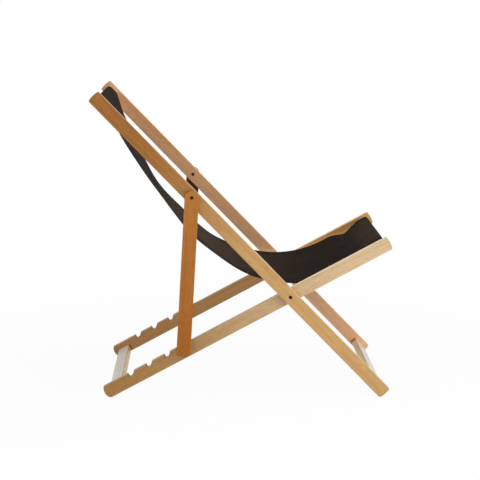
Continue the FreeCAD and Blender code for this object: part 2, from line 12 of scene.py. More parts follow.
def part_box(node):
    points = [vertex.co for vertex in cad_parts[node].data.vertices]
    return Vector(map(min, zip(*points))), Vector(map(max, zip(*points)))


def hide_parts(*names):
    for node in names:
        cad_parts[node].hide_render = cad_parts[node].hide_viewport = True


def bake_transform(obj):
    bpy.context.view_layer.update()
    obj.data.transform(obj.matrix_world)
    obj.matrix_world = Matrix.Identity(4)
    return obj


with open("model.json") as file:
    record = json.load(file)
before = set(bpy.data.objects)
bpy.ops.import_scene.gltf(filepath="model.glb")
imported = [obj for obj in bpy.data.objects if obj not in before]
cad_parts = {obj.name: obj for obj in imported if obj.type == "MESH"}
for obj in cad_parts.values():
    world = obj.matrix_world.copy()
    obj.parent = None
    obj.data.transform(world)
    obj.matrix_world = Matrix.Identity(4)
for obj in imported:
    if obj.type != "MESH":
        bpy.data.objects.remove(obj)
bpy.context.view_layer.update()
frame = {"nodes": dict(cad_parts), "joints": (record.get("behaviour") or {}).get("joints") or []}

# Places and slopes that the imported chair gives
JOINTS = {joint["name"]: joint for joint in frame["joints"]}
CROSSING = Vector(JOINTS["frame_fold"]["pos_m"])
PROP_PIVOT = Vector(JOINTS["prop_swing"]["pos_m"])
BACK_TURN = math.atan2(PROP_PIVOT.z - CROSSING.z, CROSSING.x - PROP_PIVOT.x)
SEAT_TURN = BACK_TURN - math.radians(JOINTS["frame_fold"]["range_deg"][1])
PROP_TURN = math.pi + BACK_TURN - math.radians(JOINTS["prop_swing"]["range_deg"][1])

# Sizes of the battens and bars, which the wood's edges and ends follow
RAIL_WIDTH = 0.040
LEG_WIDTH = 0.042
BATTEN_THICKNESS = 0.020
BAR_WIDTH = 0.038
BAR_THICKNESS = 0.022
SLING_BAR_ROUND = 0.0085

# Sizes of the sling
SLING_WIDTH = 0.450
CLOTH = 0.0009  # one thickness
HEM_EXTRA = 0.0006  # what a folded hem adds to it
OUTER_FACE = 0.00075  # from the line that the cloth follows to its upper face
BAR_CLEARANCE = 0.00105  # from a bar to that line
SIDE_HEM = 0.020
HEM_STEP = 0.0012  # width over which a hem's thickness falls away
HEM_RUN = 0.065  # middle of a bar to its hem seam
HEAD_SEAM_DROP = 0.015  # seam behind the middle of the head bar
FRONT_SEAM_DROP = 0.005  # seam below the middle of the front bar
HEM_OVERLAP = 0.026  # tail beyond the seam
TAIL_GAP = 0.0003  # between the tail and the cloth over it
SKEW = 0.021  # one edge forward of the middle line, and the other behind it
TILT = 0.007  # the forward edge below the middle line, and the other above it
HEAD_SKEW_EASE = 0.270  # length below the head seam over which the edges leave the middle line
FRONT_SKEW_EASE = 0.060  # length before the front seam over which they come back to it


class Socket:
    """An output in a node tree. Arithmetic on it adds Math nodes to that tree."""

    def __init__(self, graph, output):
        self.graph = graph
        self.output = output

    def other(self, name):
        """Another output of the same node."""
        return Socket(self.graph, self.output.node.outputs[name])

    def math(self, operation, *values):
        inputs = dict(enumerate((self, *values)))
        return self.graph.node("ShaderNodeMath", {"operation": operation}, inputs)

    def ramp(self, low, high):
        """0 below low, 1 above high and a smooth rise between."""
        inputs = {"Value": self, "From Min": low, "From Max": high}
        return self.graph.node("ShaderNodeMapRange", {"interpolation_type": "SMOOTHSTEP"}, inputs)

    def reversed_math(self, operation, value):
        return self.graph.node("ShaderNodeMath", {"operation": operation}, {0: value, 1: self})

    def __add__(self, value):
        return self.math("ADD", value)

    def __radd__(self, value):
        return self.reversed_math("ADD", value)

    def __sub__(self, value):
        return self.math("SUBTRACT", value)

    def __rsub__(self, value):
        return self.reversed_math("SUBTRACT", value)

    def __mul__(self, value):
        return self.math("MULTIPLY", value)

    def __rmul__(self, value):
        return self.reversed_math("MULTIPLY", value)

    def __truediv__(self, value):
        return self.math("DIVIDE", value)

    def __rtruediv__(self, value):
        return self.reversed_math("DIVIDE", value)

    def __pow__(self, value):
        return self.math("POWER", value)

    def __abs__(self):
        return self.math("ABSOLUTE")


class Graph:
    """A node tree under construction."""

    def __init__(self, tree):
        self.tree = tree

    def node(self, kind, settings=None, inputs=None, output=0):
        """Adds a node, sets it up, then fills or links its inputs. Gives one of its outputs."""
        made = self.tree.nodes.new(kind)
        for name, value in (settings or {}).items():
            setattr(made, name, value)
        for name, value in (inputs or {}).items():
            if isinstance(value, Socket):
                self.tree.links.new(value.output, made.inputs[name])
            else:
                made.inputs[name].default_value = value
        return Socket(self, made.outputs[output]) if made.outputs else None

    def vector(self, x, y, z):
        return self.node("ShaderNodeCombineXYZ", None, {"X": x, "Y": y, "Z": z})

    def noise(self, vector, scale, detail=2.0, roughness=0.5):
        inputs = {"Vector": vector, "Scale": scale, "Detail": detail, "Roughness": roughness}
        return self.node("ShaderNodeTexNoise", None, inputs)

    def mix(self, factor, first, second):
        """From the first colour to the second."""
        return self.node("ShaderNodeMix", {"data_type": "RGBA"}, {0: factor, 6: first, 7: second}, 2)

    def tinted(self, colour, tint):
        return self.node("ShaderNodeVectorMath", {"operation": "MULTIPLY"}, {0: colour, 1: tint})

    def stained(self, colour, share, tint):
        """The colour with a tint over that share of it."""
        return self.mix(share, colour, self.tinted(colour, tint))

    def scaled(self, colour, amount):
        return self.node("ShaderNodeVectorMath", {"operation": "SCALE"}, {0: colour, "Scale": amount})

    def bump(self, height, depth, strength):
        return self.node("ShaderNodeBump", None, {"Height": height, "Distance": depth, "Strength": strength})


class Finish(Graph):
    """A material whose surface is one principled shader."""

    def __init__(self, name):
        self.material = bpy.data.materials.new(name)
        self.material.use_nodes = True
        super().__init__(self.material.node_tree)
        self.tree.nodes.clear()

    def surface(self, inputs):
        shader = self.node("ShaderNodeBsdfPrincipled", None, inputs)
        self.node("ShaderNodeOutputMaterial", None, {"Surface": shader})
        return self.material


def rgb(red, green, blue):
    return (red, green, blue, 1.0)


# Wood: tints of its grain, cut ends, rubbed edges, the painted highlight on its upper edges and the brown
# line by its bars
GRAIN_TINT = (0.66, 0.55, 0.46)
END_TINT = (0.60, 0.48, 0.38)
WORN_TINT = (1.16, 1.20, 1.26)
# Painted highlight: upper edge faces lightened as if lit from above
PAINTED_TOP_LIGHT_TINT = (1.70, 2.00, 2.30)
JOINT_BROWN_TINT = (0.60, 0.30, 0.13)
# Least shares of three of those tints, and what clouds or rings add to them
WORN_LEAST = 0.35
PAINTED_TOP_LIGHT_LEAST = 0.50
END_LEAST = 0.55
CLOUDS_ADD = 0.50
RINGS_ADD = 0.45
# Growth rings round a pith outside the batten
RING_STEP = 0.0031
RING_SHARPNESS = 2.2
RING_WANDER = 0.010
PITH_THROUGH = 0.052
PITH_ACROSS = 0.031
# Marks to a metre, along the wood and across it, with the noise's detail and roughness
WANDER_MARKS = (1.7, 5, 1.0, 0.5)
STREAK_MARKS = (2.6, 150, 4.0, 0.62)
FIBRE_MARKS = (16, 900, 2.0, 0.6)
FLECK_MARKS = (120, 1100, 1.0, 0.5)
CLOUD_MARKS = (4, 16, 2.0, 0.5)
MOTTLE_MARKS = (55, 270, 2.0, 0.6)
# Levels of that noise between which a mark comes in
STREAK_LEVELS = (0.42, 0.74)
FIBRE_LEVELS = (0.35, 0.80)
FLECK_LEVELS = (0.66, 0.72)
# How strongly the marks show
RING_SHADE = 0.20
STREAK_SHADE = 0.24
FIBRE_SHADE = 0.10
FLECK_SHADE = 0.24
CLOUD_SHADE = 0.20
MIDDLE_TONE = 0.88
# How far the marks stand up or are sunk, in shares of the relief's depth
RING_HEIGHT = 0.35
FIBRE_HEIGHT = 0.55
FLECK_PIT = 0.50
RELIEF_DEPTH = 0.0002
# Parts of a face's normal between which it comes to count as narrow, upper, cut or turned to the left
NARROW_FACE = (0.50, 0.85)
UPPER_FACE = (0.90, 0.98)
CUT_FACE = (0.30, 0.60)
LEFT_FACE = (-0.70, 0.70)
EDGE_WEAR = 0.0030
JOINT_BROWN_REACH = 0.0080
# Roughness under the varnish, and what streaks and cut ends add to it
WOOD_ROUGHNESS = 0.34
STREAK_ROUGHNESS = 0.12
END_ROUGHNESS = 0.18
# Mottling, strength of the relief and weight of the varnish, on a batten and on a planed bar
BATTEN_SURFACE = (0.48, 0.30, 0.15)
BAR_SURFACE = (0.14, 0.08, 0.25)


def wood(name, origin, turn, order, half_through, half_across, middle, tones, reach, surface, bars=()):
    """Varnished beech. order names the local axes along, through and across the batten, and middle is how
    far its own middle lies from the chair's, along the through axis. tones are the colours at the two ends
    of reach, or those of the broad and the narrow faces where reach is None, and a third one is for the face
    that is turned to the left; the change between these colours is painted light and shade. bars are the
    places, along and across, of the bars beside which a brown line shows."""
    mottling, relief_strength, varnish = surface
    finish = Finish(name)

    def in_batten(output, start):
        """Parts of a texture coordinate along, through and across the batten."""
        place = finish.node("ShaderNodeTexCoord", output=output)
        turned = {"Vector": place, "Location": start, "Rotation": (0, turn, 0)}
        local = finish.node("ShaderNodeMapping", {"vector_type": "TEXTURE"}, turned)
        parts = finish.node("ShaderNodeSeparateXYZ", None, {0: local})
        return [parts.other(axis) for axis in order]

    along, through, across = in_batten("Object", origin)
    facing_along, facing_through, facing_across = in_batten("Normal", (0, 0, 0))

    def marks(lengthwise, crosswise, detail, roughness):
        """Noise drawn out along the grain."""
        stretched = finish.vector(along * lengthwise, through * crosswise, across * crosswise)
        return finish.noise(stretched, 1.0, detail, roughness)

    # Growth rings that wander slowly along the batten
    wander = marks(*WANDER_MARKS) * RING_WANDER
    out = through + PITH_THROUGH + wander
    up = across - PITH_ACROSS + wander
    radius = (out * out + up * up) ** 0.5
    ring = (radius / RING_STEP).math("FRACT") ** RING_SHARPNESS

    # Long streaks, fine fibres, short dark flecks, soft clouds of tone and a close mottle
    streak = marks(*STREAK_MARKS)
    fibre = marks(*FIBRE_MARKS)
    fleck = marks(*FLECK_MARKS).ramp(*FLECK_LEVELS)
    cloud = marks(*CLOUD_MARKS)
    mottle = marks(*MOTTLE_MARKS)
    first, last, *left_face = tones
    # Painted light: along a batten its colour changes as the light falls off, and a bar's faces are lit and
    # shaded copies
    share = along.ramp(*reach) if reach else abs(facing_across).ramp(*NARROW_FACE)
    colour = finish.mix(share, first, last)
    for tone in left_face:
        colour = finish.mix(facing_through.ramp(*LEFT_FACE), colour, tone)
    colour = finish.scaled(colour, MIDDLE_TONE - mottling / 2 + cloud * CLOUD_SHADE + mottle * mottling)
    grain = ring * RING_SHADE + streak.ramp(*STREAK_LEVELS) * STREAK_SHADE
    grain = grain + fibre.ramp(*FIBRE_LEVELS) * FIBRE_SHADE + fleck * FLECK_SHADE
    colour = finish.stained(colour, grain, GRAIN_TINT)

    # Rubbed long edges, a painted highlight on the upper edges, and darker cut ends, partly painted shade
    side = abs(abs(through) - middle)
    rubbed = side.ramp(half_through - EDGE_WEAR, half_through)
    rubbed = rubbed * abs(across).ramp(half_across - EDGE_WEAR, half_across)
    colour = finish.stained(colour, rubbed * (WORN_LEAST + cloud * CLOUDS_ADD), WORN_TINT)
    # Painted highlight: a batten's upper edge faces lighter, as if lit from above
    if reach:
        upper = facing_across.ramp(*UPPER_FACE)
        colour = finish.stained(colour, upper * (PAINTED_TOP_LIGHT_LEAST + cloud * CLOUDS_ADD), PAINTED_TOP_LIGHT_TINT)
    # Cut ends and notch walls darker: partly end grain, partly painted shade in the notches
    ends = abs(facing_along).ramp(*CUT_FACE)
    colour = finish.stained(colour, ends * (END_LEAST + ring * RINGS_ADD), END_TINT)

    # A brown line on the inner face, beside the side of a bar let into it that faces the crossing
    for bar_along, bar_across in bars:
        inner_face = middle - half_through
        inside = 1 - abs(through).ramp(inner_face, inner_face + JOINT_BROWN_REACH / 2)
        bar_face = bar_along - math.copysign(BAR_WIDTH / 2, bar_along)
        beside = 1 - abs(along - bar_face).ramp(JOINT_BROWN_REACH / 3, JOINT_BROWN_REACH)
        half_bar = BAR_THICKNESS / 2
        level = 1 - abs(across - bar_across).ramp(half_bar - JOINT_BROWN_REACH / 3, half_bar)
        colour = finish.stained(colour, inside * beside * level, JOINT_BROWN_TINT)

    relief = ring * RING_HEIGHT + fibre * FIBRE_HEIGHT - fleck * FLECK_PIT
    return finish.surface({
        "Base Color": colour,
        "Roughness": WOOD_ROUGHNESS + streak * STREAK_ROUGHNESS + ends * END_ROUGHNESS,
        "Normal": finish.bump(relief, RELIEF_DEPTH, relief_strength),
        "Specular IOR Level": 0.2,
        "Coat Weight": varnish,
        "Coat Roughness": 0.20,
    })


# Canvas: its colours, its yarns and the levels between which one yarn goes under the other
CHARCOAL = rgb(0.0140, 0.0088, 0.0066)
DUSTY = rgb(0.0320, 0.0225, 0.0165)
LIGHTENED_CHARCOAL = rgb(0.0640, 0.0440, 0.0290)
YARN_STEP = 0.0012
YARN_CROSSING = (-0.25, 0.25)
# Lengths along the cloth, from its head tail, between which the lighter stretches come and go: a painted
# sheen on the back, and a lighter stretch at the front
BACK_SHEEN_FROM = (0.42, 0.66)
BACK_SHEEN_TO = (0.60, 1.08)
FRONT_LIGHTENING = (1.18, 1.24)
# Distances from the cloth's middle between which they end
LIGHTENED_ACROSS = (0.14, 0.22)
# How far they are lightened: the front one beside the other, the least, and what clouds add
FRONT_LIGHTENING_SHARE = 0.50
LIGHTENING_LEAST = 0.60
LIGHTENING_CLOUDS = 0.60
# Marks to a metre, across the cloth and along it, with the noise's layer and detail
WARP_SLUBS = (700, 12, 0.0, 2.0)
WEFT_SLUBS = (12, 700, 3.0, 2.0)
CLOTH_CLOUDS = (9, 7, 7.0, 3.0)
CREASES = (26, 60, 1.0, 3.0)
# Levels of that noise between which dust shows, and how much of it
SLUB_LEVELS = (0.35, 0.75)
CLOUD_LEVELS = (0.40, 0.80)
SLUB_DUST = 0.45
CLOUD_DUST = 0.30
# Distances from the long edges between which the cloth darkens to its folded edge, a painted shade, and by
# how much
DARK_EDGE = (0.006, 0.002)
EDGE_SHADE = 0.45
# Brightness between the yarns, and what a yarn's crown adds to it: a painted shade in the hollows between
# them
WEAVE_LEAST = 0.72
WEAVE_CROWN = 0.36
# How high the yarns, their slubs and the creases stand, in shares of the relief's depth
WEAVE_HEIGHT = 0.8
SLUB_HEIGHT = 0.3
CREASE_HEIGHT = 1.2
CLOTH_RELIEF_DEPTH = 0.0005
CLOTH_RELIEF_STRENGTH = 0.55
CLOTH_ROUGHNESS = 0.86
SLUB_ROUGHNESS = 0.10


def canvas():
    """Plain-woven cotton duck. The map's u runs across the cloth and v along it, in metres."""
    finish = Finish("charcoal_canvas")
    place = finish.node("ShaderNodeUVMap", {"uv_map": "weave"})
    parts = finish.node("ShaderNodeSeparateXYZ", None, {0: place})
    across, along = parts.other("X"), parts.other("Y")
    warp = (across * (math.pi / YARN_STEP)).math("SINE")
    weft = (along * (math.pi / YARN_STEP)).math("SINE")
    over = (warp * weft).ramp(*YARN_CROSSING)
    weave = over * abs(warp) + (1 - over) * abs(weft)

    def marks(crosswise, lengthwise, layer, detail):
        return finish.noise(finish.vector(across * crosswise, along * lengthwise, layer), 1.0, detail)

    slub = over * marks(*WARP_SLUBS) + (1 - over) * marks(*WEFT_SLUBS)
    cloud = marks(*CLOTH_CLOUDS)
    crease = marks(*CREASES)
    dust = slub.ramp(*SLUB_LEVELS) * SLUB_DUST + cloud.ramp(*CLOUD_LEVELS) * CLOUD_DUST
    colour = finish.mix(dust, CHARCOAL, DUSTY)
    # Painted sheen on the back, the cloth lighter where light grazes it; the front stretch is lighter towards
    # the front seam
    back_sheen = along.ramp(*BACK_SHEEN_FROM) * (1 - along.ramp(*BACK_SHEEN_TO))
    lightening = back_sheen + along.ramp(*FRONT_LIGHTENING) * FRONT_LIGHTENING_SHARE
    middle = 1 - abs(across).ramp(*LIGHTENED_ACROSS)
    colour = finish.mix(lightening * middle * (LIGHTENING_LEAST + cloud * LIGHTENING_CLOUDS), colour, LIGHTENED_CHARCOAL)
    # Painted shade along the folded edges
    edge = abs(across).ramp(*(SLING_WIDTH / 2 - distance for distance in DARK_EDGE))
    # Painted shade in the hollows between the yarns
    colour = finish.scaled(colour, (WEAVE_LEAST + weave * WEAVE_CROWN) * (1 - edge * EDGE_SHADE))
    relief = weave * WEAVE_HEIGHT + slub * SLUB_HEIGHT + crease * CREASE_HEIGHT
    return finish.surface({
        "Base Color": colour,
        "Roughness": CLOTH_ROUGHNESS + slub * SLUB_ROUGHNESS,
        "Specular IOR Level": 0.10,
        "Normal": finish.bump(relief, CLOTH_RELIEF_DEPTH, CLOTH_RELIEF_STRENGTH),
    })


# Thread: its colour, twists to a metre, and their shade, depth and strength
THREAD_BLACK = (0.014, 0.010, 0.008)
TWISTS = 2400.0
TWIST_SHADE = 0.70
TWIST_DEPTH = 0.0002
TWIST_STRENGTH = 0.40


def thread():
    """Waxed sewing thread, twisted."""
    finish = Finish("sewing_thread")
    place = finish.node("ShaderNodeTexCoord", output="Object")
    twist = finish.noise(place, TWISTS, 1.0)
    return finish.surface({
        "Base Color": finish.scaled(THREAD_BLACK, TWIST_SHADE + twist * TWIST_SHADE),
        "Roughness": 0.85,
        "Normal": finish.bump(twist, TWIST_DEPTH, TWIST_STRENGTH),
    })


# Steel: its coated and its rubbed colours
BLACKENED = (rgb(0.016, 0.014, 0.013), rgb(0.075, 0.070, 0.066))
# Painted shade: the prop bolts' brown stands for the shaded wood of their recesses
RECESS_BROWN = (rgb(0.060, 0.020, 0.006), rgb(0.14, 0.050, 0.016))
ZINC = (rgb(0.52, 0.53, 0.54), rgb(0.66, 0.67, 0.68))
# Rubbed patches and scratches to a metre, the levels between which they come in, and how far they rub
PATCHES = 260.0
SCRATCHES = (3000.0, 400.0, 260.0)
PATCH_LEVELS = (0.55, 0.75)
SCRATCH_LEVELS = (0.58, 0.66)
PATCH_WEAR = 0.50
SCRATCH_WEAR = 0.30
PATCH_ROUGHNESS = 0.18
SCRATCH_DEPTH = 0.0001
SCRATCH_STRENGTH = 0.25


def metal(name, colours, roughness, shine, gloss=0.5):
    """Coated steel with faint scratches and patches rubbed from the first colour to the second."""
    finish = Finish(name)
    place = finish.node("ShaderNodeTexCoord", output="Object")
    patch = finish.noise(place, PATCHES, 3.0)
    scratch = finish.noise(finish.tinted(place, SCRATCHES), 1.0, 2.0).ramp(*SCRATCH_LEVELS)
    wear = patch.ramp(*PATCH_LEVELS) * PATCH_WEAR + scratch * SCRATCH_WEAR
    return finish.surface({
        "Base Color": finish.mix(wear, *colours),
        "Metallic": shine,
        "Specular IOR Level": gloss,
        "Roughness": roughness + patch * PATCH_ROUGHNESS,
        "Normal": finish.bump(patch + scratch, SCRATCH_DEPTH, SCRATCH_STRENGTH),
    })


# Colours of each batten at the two ends of a stretch along it, measured from the crossing or the prop pivot:
# the change along it is painted light. A third colour is that of its outer face.
BATTENS = {
    "back_rail_right": (rgb(0.323, 0.132, 0.023), rgb(0.540, 0.322, 0.126), (-0.62, -0.10)),
    "back_rail_left": (rgb(0.575, 0.306, 0.145), rgb(0.770, 0.455, 0.252), (-0.80, 0.40)),
    "seat_rail_right": (rgb(0.366, 0.193, 0.058), rgb(0.614, 0.455, 0.268), (-0.60, 0.33)),
    "seat_rail_left": (rgb(0.410, 0.212, 0.074), rgb(0.530, 0.283, 0.100), (-0.60, 0.33)),
    "prop_leg_right": (rgb(0.415, 0.157, 0.022), rgb(0.350, 0.112, 0.009), (-0.02, 0.47)),
    # Painted shadow: the left prop leg's inner face darkens towards its top, where it lies in shade
    "prop_leg_left": (rgb(0.110, 0.036, 0.009), rgb(0.380, 0.134, 0.015), rgb(0.400, 0.145, 0.018),
                      (0.02, 0.22)),
}
# Colours of the bars' broad faces and narrow ones: a paler wood, with painted light and reflection that make
# the faces differ
PALE_BAR = (rgb(0.95, 0.88, 0.76), rgb(0.78, 0.51, 0.265))
FOOT_BAR = (rgb(0.84, 0.75, 0.64), rgb(0.98, 0.78, 0.43))
DOWEL = (rgb(0.56, 0.36, 0.19), rgb(0.58, 0.38, 0.21))


def middle_of(node):
    low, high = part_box(node)
    return (low + high) / 2


def batten_wood(node, origin, turn, width, bars, tones, reach):
    """A rail or leg: along X, through Y and across Z of its own frame."""
    middle = abs(middle_of(node).y)
    places = [to_frame(middle_of(bar), turn).tolist() for bar in bars]
    return wood("beech_" + node, origin, turn, "XYZ", BATTEN_THICKNESS / 2, width / 2, middle,
                tones, reach, BATTEN_SURFACE, places)


def bar_wood(node, turn, tones):
    """A cross bar: along Y, through Z and across X of the frame that holds it."""
    return wood("beech_" + node, middle_of(node), turn, "YZX", BAR_THICKNESS / 2, BAR_WIDTH / 2, 0,
                tones, None, BAR_SURFACE)


def dress(node, material):
    slots = frame["nodes"][node].data.materials
    slots.clear()
    slots.append(material)


def dress_frame():
    frames = {
        "back_rail": (CROSSING, BACK_TURN, RAIL_WIDTH, ("foot_bar",)),
        "seat_rail": (CROSSING, SEAT_TURN, RAIL_WIDTH, ("rear_bar",)),
        "prop_leg": (PROP_PIVOT, PROP_TURN, LEG_WIDTH, ()),
    }
    for node, (*tones, reach) in BATTENS.items():
        kind, _ = node.rsplit("_", 1)
        dress(node, batten_wood(node, *frames[kind], tones, reach))
    bars = {
        "head_bar": (BACK_TURN, PALE_BAR),
        "foot_bar": (BACK_TURN, FOOT_BAR),
        "front_bar": (SEAT_TURN, PALE_BAR),
        "rear_bar": (SEAT_TURN, PALE_BAR),
        "prop_bar": (PROP_TURN, DOWEL),
    }
    for node, facts in bars.items():
        dress(node, bar_wood(node, *facts))
    black = metal("blackened_steel", BLACKENED, roughness=0.42, shine=0.85)
    # Painted shade on the prop bolts: brown for their shaded wooden recesses
    recess_brown = metal("recess_brown_steel", RECESS_BROWN, roughness=0.70, shine=0.0, gloss=0.1)
    zinc = metal("zinc_plate", ZINC, roughness=0.34, shine=1.0)
    for side in ("right", "left"):
        for pivot, steel in (("pivot", black), ("prop", recess_brown)):
            dress(f"{pivot}_bolt_{side}", steel)
            dress(f"{pivot}_nut_{side}", steel)
            dress(f"{pivot}_washer_{side}", zinc)


# The line that the sling follows, in a plane of constant Y: how finely it is drawn
HANGING_POINTS = 151
HANGING_ROUNDS = 40  # that bring the hanging curve to its length
TAIL_POINTS = 6
LOOP_STEP = 0.006  # metres, on the straight stretches of a hem loop
BEND_STEP = 0.15  # radians, round a bar's edges
SEAM_EASE_POINTS = 4  # each side of a seam, where the kink is softened
SEAM_EASE_ROUNDS = 2


def to_frame(point, turn):
    """Coordinates along and above a frame's rails, from the crossing."""
    x, z = point.x - CROSSING.x, point.z - CROSSING.z
    return np.array((x * math.cos(turn) - z * math.sin(turn), x * math.sin(turn) + z * math.cos(turn)))


def to_chair(points, turn):
    """X and Z of points that are given along and above a frame's rails."""
    points = np.asarray(points, float)
    along, above = points[..., 0], points[..., 1]
    x = CROSSING.x + along * math.cos(turn) + above * math.sin(turn)
    z = CROSSING.z - along * math.sin(turn) + above * math.cos(turn)
    return np.stack((x, z), axis=-1)


def even_steps(start, end, step):
    count = max(2, math.ceil(np.linalg.norm(end - start) / step) + 1)
    return start + (end - start) * np.linspace(0, 1, count)[:, None]


def outward_angle(first, second):
    """Direction of the outer side of cloth that runs clockwise from one peg (middle, radius) to the next."""
    gap = second[0] - first[0]
    return math.atan2(gap[1], gap[0]) + math.acos((first[1] - second[1]) / np.linalg.norm(gap))


def round_pegs(start, pegs, end, radius, step):
    """Cloth pulled clockwise from start round pegs of one radius to end. A peg that it clears is left out."""
    stops = [(start, 0.0)] + [(peg, radius) for peg in pegs] + [(end, 0.0)]
    slack = True
    while slack:
        angles = [outward_angle(*pair) for pair in zip(stops, stops[1:])]
        turns = [(first - second) % (2 * math.pi) for first, second in zip(angles, angles[1:])]
        slack = [number for number, turn in enumerate(turns, 1) if turn > math.pi]
        stops = [stop for number, stop in enumerate(stops) if number not in slack]
    line = [start[None]]
    for number, angle in enumerate(angles):
        if number:
            turn = turns[number - 1]
            bend = angles[number - 1] - turn * np.linspace(0, 1, max(3, math.ceil(turn / BEND_STEP)))[1:]
            line.append(stops[number][0] + radius * np.stack((np.cos(bend), np.sin(bend)), axis=1))
        outward = np.array((math.cos(angle), math.sin(angle)))
        leave, arrive = (middle + size * outward for middle, size in stops[number:number + 2])
        line.append(even_steps(leave, arrive, step)[1:])
    return np.concatenate(line)


def hanging_line(start, end, length, shares):
    """Points and upward normals of a cloth of that length, hung from start to end."""
    across, down = end - start
    stretch = math.sqrt(length ** 2 - down ** 2) / across
    half = math.sqrt(6 * (stretch - 1))
    for _ in range(HANGING_ROUNDS):
        half -= (math.sinh(half) - stretch * half) / (math.cosh(half) - stretch)
    scale = across / 2 / half
    lowest = (start[0] + end[0]) / 2 - scale * math.atanh(down / length)
    begin = math.sinh((start[0] - lowest) / scale)
    base = start[1] - scale * math.cosh((start[0] - lowest) / scale)
    slope = begin + shares * length / scale
    lift = np.arcsinh(slope)
    points = np.stack((lowest + scale * lift, base + scale * np.cosh(lift)), axis=1)
    normals = np.stack((-slope, np.ones_like(slope)), axis=1)
    return points, normals / np.linalg.norm(normals, axis=1)[:, None]


def bar_pegs(middle, towards):
    """Middles of a bar's rounded edges: near and far from the seam, above and below."""
    out_x, out_z = BAR_WIDTH / 2 - SLING_BAR_ROUND, BAR_THICKNESS / 2 - SLING_BAR_ROUND
    near, far = middle[0] + towards * out_x, middle[0] - towards * out_x
    above, below = middle[1] + out_z, middle[1] - out_z
    return {"near_above": (near, above), "far_above": (far, above),
            "far_below": (far, below), "near_below": (near, below)}


def sling_line():
    """The line from the head tail to the front tail: its points, each one's share of the hanging stretch,
    1 where its left is the cloth's upper side and -1 on the tails, and the rows of the two seams."""
    head = to_frame(middle_of("head_bar"), BACK_TURN)
    front = to_frame(middle_of("front_bar"), SEAT_TURN)
    head_seam = head + np.array((HEM_RUN, -HEAD_SEAM_DROP))
    front_seam = front + np.array((-HEM_RUN, -FRONT_SEAM_DROP))
    length = float(np.linalg.norm(front_seam - head_seam))
    start, end = to_chair(head_seam, BACK_TURN), to_chair(front_seam, SEAT_TURN)
    shares = np.linspace(0, 1, HANGING_POINTS)
    main, _ = hanging_line(start, end, length, shares)
    radius = SLING_BAR_ROUND + BAR_CLEARANCE
    under = CLOTH + HEM_EXTRA + TAIL_GAP

    tail_shares = np.linspace(HEM_OVERLAP / length, 0, TAIL_POINTS)
    tail, tail_normals = hanging_line(start, end, length, tail_shares)
    head_tail = tail - tail_normals * under
    pegs = {name: to_chair(peg, BACK_TURN) for name, peg in bar_pegs(head, 1).items()}
    order = ("near_below", "far_below", "far_above", "near_above")
    head_loop = round_pegs(head_tail[-1], [pegs[name] for name in order], main[0], radius, LOOP_STEP)

    tail, tail_normals = hanging_line(start, end, length, 1 - tail_shares[::-1])
    front_tail = tail - tail_normals * under
    pegs = {name: to_chair(peg, SEAT_TURN) for name, peg in bar_pegs(front, -1).items()}
    order = ("near_above", "far_above", "far_below", "near_below")
    front_loop = round_pegs(main[-1], [pegs[name] for name in order], front_tail[0], radius, LOOP_STEP)

    line = np.concatenate((head_tail[:-1], head_loop[:-1], main, front_loop[1:], front_tail[1:]))
    hung = np.concatenate((tail_shares[:-1], np.zeros(len(head_loop) - 1), shares,
                           np.ones(len(front_loop) - 1), 1 - tail_shares[-2::-1]))
    upward = np.ones(len(line))
    upward[:len(head_tail) - 1] = -1
    upward[1 - len(front_tail):] = -1
    head_row = len(head_tail) + len(head_loop) - 2
    return line, hung, upward, head_row, head_row + len(main) - 1


def eased(line, rounds):
    """The line with its kinks softened, its ends kept."""
    line = line.copy()
    for _ in range(rounds):
        line[1:-1] = line[1:-1] * 0.5 + (line[:-2] + line[2:]) * 0.25
    return line


def normals_of(line):
    """Unit normals to the left of the line's run: up on the seat, outwards round the bars."""
    run = np.gradient(line, axis=0)
    left = np.stack((-run[:, 1], run[:, 0]), axis=1)
    return left / np.linalg.norm(left, axis=1)[:, None]


def smooth_rise(share):
    """0 below 0, 1 above 1 and a smooth rise between."""
    share = np.clip(share, 0, 1)
    return share * share * (3 - 2 * share)


# Slack of the hung cloth: heights of its ripples, seam puckers and curled edges
BROAD_RIPPLE = 0.0016
CROSS_RIPPLE = 0.0009
SEAM_PUCKER = 0.0009
EDGE_CURL = 0.0011
# Their waves, in radians along the hung stretch or from the middle to an edge, and where these start
BROAD_ALONG = 7.1 * math.pi
BROAD_ACROSS = (1.9, 2.3)
BROAD_PHASE = 0.8
CROSS_ALONG = 23.0
CROSS_ACROSS = 5.2
CROSS_PHASE = 0.6
PUCKER_ACROSS = (24.0, 9.0)
PUCKER_SWAY = 1.3
CURL_ALONG = 31.0
CURL_PHASE = 2.0
# Where they begin and end
HELD_SHARPNESS = 0.7
PUCKER_START = 0.012
PUCKER_REACH = 0.030
CURL_SHARE = 0.06


